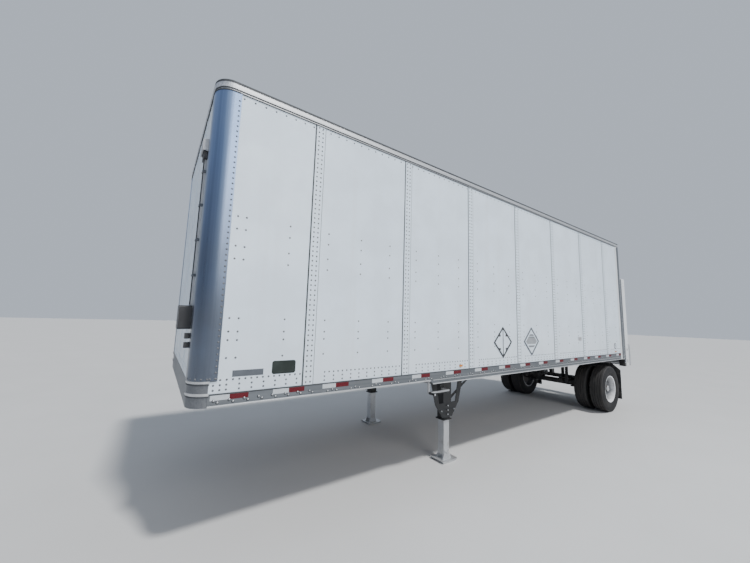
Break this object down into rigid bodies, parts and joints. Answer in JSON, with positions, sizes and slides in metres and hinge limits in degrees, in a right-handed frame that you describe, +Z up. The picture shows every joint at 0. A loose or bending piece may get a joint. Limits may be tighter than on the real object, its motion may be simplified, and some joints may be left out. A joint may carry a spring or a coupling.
{
  "type": "semi trailer",
  "caption": "Dry freight van semi trailer with a single twin wheeled axle, landing legs and a folding rail lift gate",
  "frame": {"origin": "on the ground, in the middle of the whole vehicle's length and width", "axes": "+X to the nose, +Y to the left side, +Z up"},
  "size_m": [10.04, 2.601, 4.115],
  "materials": {
    "white_panel": "smooth pre-painted white sheet, light road dust",
    "bare_aluminium": "mill finish extrusion, brushed along its length",
    "polished_aluminium": "bright rolled skin with faint upright streaks",
    "black_steel": "dull black chassis paint with road dust",
    "grey_steel": "grey paint, dusty",
    "galvanised": "zinc coated, dull",
    "tyre_rubber": "black tread rubber, dusty shoulders",
    "flap_rubber": "flat black rubber sheet",
    "white_rim": "gloss white wheel paint with brake dust",
    "cast_hub": "oily cast iron",
    "hardwood": "laminated oak boards",
    "amber_lens": "clear amber lens",
    "red_lens": "clear red lens",
    "black_plastic": "moulded black plastic"
  },
  "bodies": {
    "trailer": {"front_wall": "white_panel", "front_sill": "bare_aluminium", "corner_castings": "bare_aluminium", "corner_posts": "polished_aluminium", "side_panels": "white_panel", "bottom_rails": "bare_aluminium", "top_rails": "bare_aluminium", "front_top_rail": "bare_aluminium", "roof": "bare_aluminium", "floor": "hardwood", "crossmembers": "black_steel", "upper_coupler": "black_steel", "axle": "black_steel", "leaf_springs": "black_steel", "spring_seats": "black_steel", "subframe": "black_steel", "spring_hangers": "black_steel", "brake_chambers": "black_steel", "air_tank": "black_steel", "mud_flaps": "flap_rubber", "flap_hangers": "galvanised", "landing_legs": "grey_steel", "landing_feet": "galvanised", "landing_shaft": "galvanised", "landing_braces": "grey_steel", "rear_posts": "white_panel", "rear_header": "white_panel", "rear_sill": "white_panel", "roll_up_door": "white_panel", "underride_guard": "black_steel", "gate_columns": "white_panel", "marker_lamps": "amber_lens", "rear_lamps": "red_lens", "nose_box": "black_plastic", "front_vent": "white_panel"},
    "wheels_left": {"tyre_outer_left": "tyre_rubber", "tyre_inner_left": "tyre_rubber", "rims_left": "white_rim", "hub_left": "cast_hub"},
    "wheels_right": {"tyre_outer_right": "tyre_rubber", "tyre_inner_right": "tyre_rubber", "rims_right": "white_rim", "hub_right": "cast_hub"},
    "carriage": {"gate_carriage": "galvanised"},
    "platform": {"gate_platform": "bare_aluminium"}
  },
  "joints": [
    {"name": "wheel_left_spin", "type": "hinge", "parent": "trailer", "child": "wheels_left", "pos_m": [-3.68, 0.975, 0.515], "axis": [0, 1, 0], "continuous": true},
    {"name": "wheel_right_spin", "type": "hinge", "parent": "trailer", "child": "wheels_right", "pos_m": [-3.68, -0.975, 0.515], "axis": [0, 1, 0], "continuous": true},
    {"name": "gate_lift", "type": "slide", "parent": "trailer", "child": "carriage", "axis": [0, 0, -1], "range_m": [-0.25, 0.95]},
    {"name": "gate_fold", "type": "hinge", "parent": "carriage", "child": "platform", "pos_m": [-4.947, 0, 1.045], "axis": [0, -1, 0], "range_deg": [0, 90]}
  ]
}
